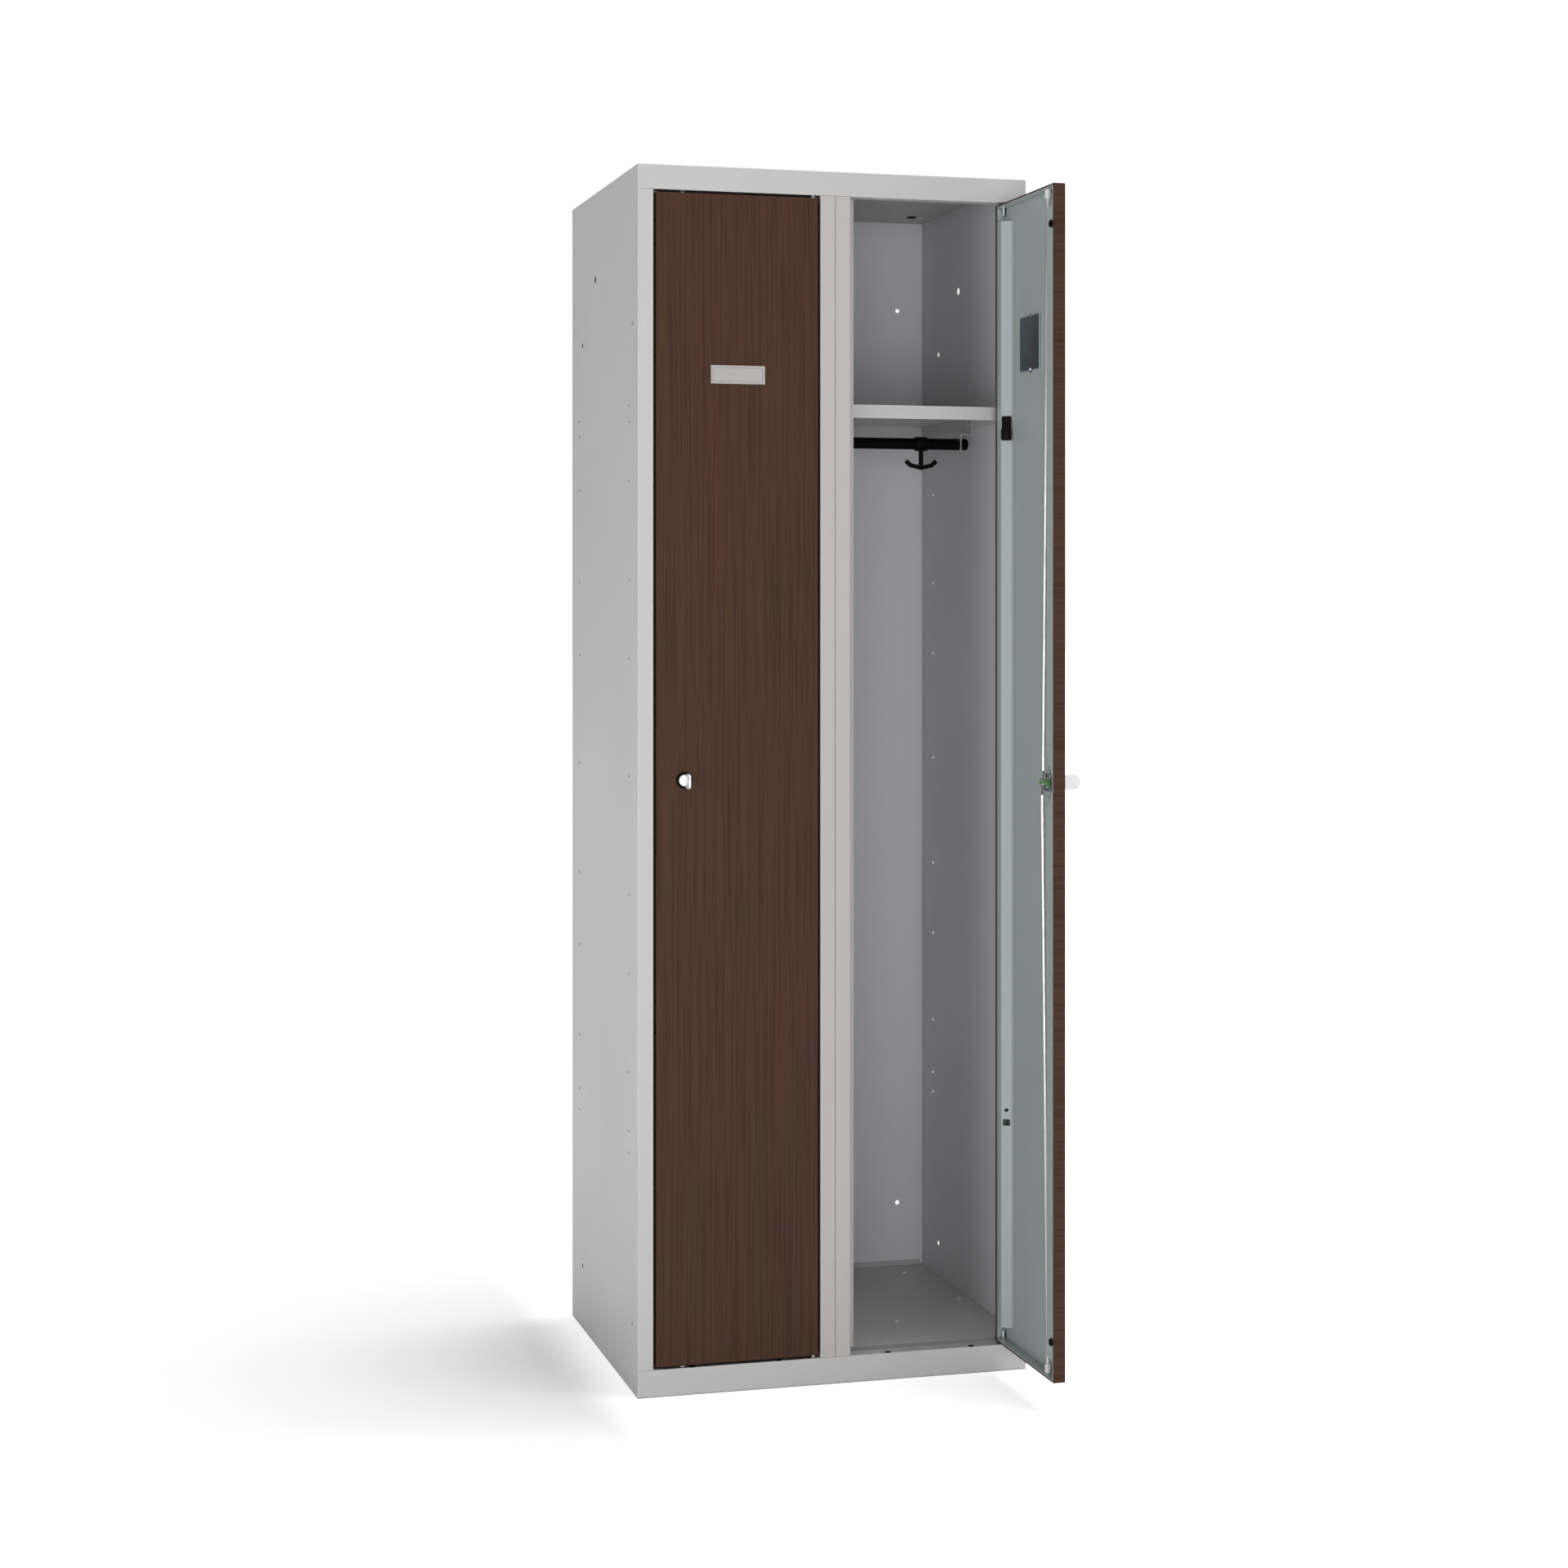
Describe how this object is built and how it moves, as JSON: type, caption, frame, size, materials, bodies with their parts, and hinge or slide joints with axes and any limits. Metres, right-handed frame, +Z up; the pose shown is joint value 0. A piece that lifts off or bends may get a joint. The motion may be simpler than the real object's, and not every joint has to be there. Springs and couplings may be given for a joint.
{
  "type": "two-door locker",
  "caption": "Tall steel locker with two full-height wood-look doors, each bay with a hat shelf, a hanging rod and a sliding coat hook.",
  "frame": {"origin": "middle of the base, on the floor plane, halfway across and halfway from front to back of the cabinet", "axes": "+Z up, -Y out of the front where the doors are, +X to the right seen from the front"},
  "size_m": [0.6, 0.733, 1.8],
  "materials": {
    "grey_enamel": "smooth light grey powder coat",
    "inner_enamel": "smooth mid grey powder coat with a cool tint",
    "wood_face": "dark brown wood-look laminate, fine vertical grain, satin",
    "black_plastic": "black, matte",
    "black_enamel": "black, satin",
    "rubber": "black rubber",
    "bright_metal": "bright nickel plate",
    "steel": "zinc plated, satin",
    "white_plastic": "off-white plastic",
    "green_plastic": "green moulded plastic",
    "card_grey": "light grey plastic",
    "mirror_glass": "silvered glass"
  },
  "bodies": {
    "cabinet": {"left_side_panel": "grey_enamel", "right_side_panel": "grey_enamel", "left_divider_panel": "grey_enamel", "right_divider_panel": "grey_enamel", "top_panel": "grey_enamel", "bottom_panel": "grey_enamel", "floor_channel": "grey_enamel", "rear_panel": "grey_enamel", "left_shelf": "grey_enamel", "left_bay_left_rod_bracket": "steel", "left_bay_right_rod_bracket": "steel", "left_hanging_rod": "black_enamel", "left_roof_plug": "black_plastic", "right_shelf": "grey_enamel", "right_bay_left_rod_bracket": "steel", "right_bay_right_rod_bracket": "steel", "right_hanging_rod": "black_enamel", "right_roof_plug": "black_plastic"},
    "left_door": {"left_door_skin": "wood_face", "left_door_liner": "inner_enamel", "left_door_stiffener": "inner_enamel", "left_upper_hinge_pin": "steel", "left_lower_hinge_pin": "steel", "left_card_holder": "card_grey", "left_mirror": "mirror_glass", "left_towel_hook": "black_plastic", "left_upper_buffer": "rubber", "left_lower_buffer": "rubber", "left_rosette": "black_plastic", "left_lock_case": "steel", "left_upper_rod_guide": "white_plastic", "left_lower_rod_guide": "white_plastic"},
    "left_lock": {"left_knob": "bright_metal", "left_lock_crank": "green_plastic"},
    "left_upper_rod": {"left_upper_lock_rod": "steel"},
    "left_lower_rod": {"left_lower_lock_rod": "steel"},
    "left_hook": {"left_coat_hook": "black_plastic"},
    "right_door": {"right_door_skin": "wood_face", "right_door_liner": "inner_enamel", "right_door_stiffener": "inner_enamel", "right_upper_hinge_pin": "steel", "right_lower_hinge_pin": "steel", "right_card_holder": "card_grey", "right_mirror": "mirror_glass", "right_towel_hook": "black_plastic", "right_upper_buffer": "rubber", "right_lower_buffer": "rubber", "right_rosette": "black_plastic", "right_lock_case": "steel", "right_upper_rod_guide": "white_plastic", "right_lower_rod_guide": "white_plastic"},
    "right_lock": {"right_knob": "bright_metal", "right_lock_crank": "green_plastic"},
    "right_upper_rod": {"right_upper_lock_rod": "steel"},
    "right_lower_rod": {"right_lower_lock_rod": "steel"},
    "right_hook": {"right_coat_hook": "black_plastic"}
  },
  "joints": [
    {"name": "left_door_hinge", "type": "hinge", "parent": "cabinet", "child": "left_door", "pos_m": [-0.033, -0.243, 0.9], "axis": [0, 0, 1], "range_deg": [0, 105]},
    {"name": "left_upper_rod_slide", "type": "slide", "parent": "left_door", "child": "left_upper_rod", "axis": [0, -0.0053, 1], "range_m": [0, 0.011]},
    {"name": "left_lower_rod_slide", "type": "slide", "parent": "left_door", "child": "left_lower_rod", "axis": [0, -0.0071, -1], "range_m": [0, 0.0112]},
    {"name": "left_knob_turn", "type": "hinge", "parent": "left_door", "child": "left_lock", "pos_m": [-0.231, -0.243, 0.9], "axis": [0, -1, 0], "range_deg": [0, 90]},
    {"name": "left_hook_slide", "type": "slide", "parent": "cabinet", "child": "left_hook", "axis": [1, 0, 0], "range_m": [-0.182, 0.05]},
    {"name": "right_door_hinge", "type": "hinge", "parent": "cabinet", "child": "right_door", "pos_m": [0.267, -0.243, 0.9], "axis": [0, 0, 1], "range_deg": [-90, 15]},
    {"name": "right_upper_rod_slide", "type": "slide", "parent": "right_door", "child": "right_upper_rod", "axis": [0.0053, 0, 1], "range_m": [0, 0.011]},
    {"name": "right_lower_rod_slide", "type": "slide", "parent": "right_door", "child": "right_lower_rod", "axis": [0.0071, 0, -1], "range_m": [0, 0.0112]},
    {"name": "right_knob_turn", "type": "hinge", "parent": "right_door", "child": "right_lock", "pos_m": [0.267, -0.441, 0.9], "axis": [1, 0, 0], "range_deg": [0, 90]},
    {"name": "right_hook_slide", "type": "slide", "parent": "cabinet", "child": "right_hook", "axis": [1, 0, 0], "range_m": [-0.182, 0.05]}
  ],
  "couplings": [
    {"joint": "left_lower_rod_slide", "follows": "left_upper_rod_slide", "ratio": 1},
    {"joint": "left_knob_turn", "follows": "left_upper_rod_slide", "rad_per_m": 142.79},
    {"joint": "right_lower_rod_slide", "follows": "right_upper_rod_slide", "ratio": 1},
    {"joint": "right_knob_turn", "follows": "right_upper_rod_slide", "rad_per_m": 142.79}
  ]
}
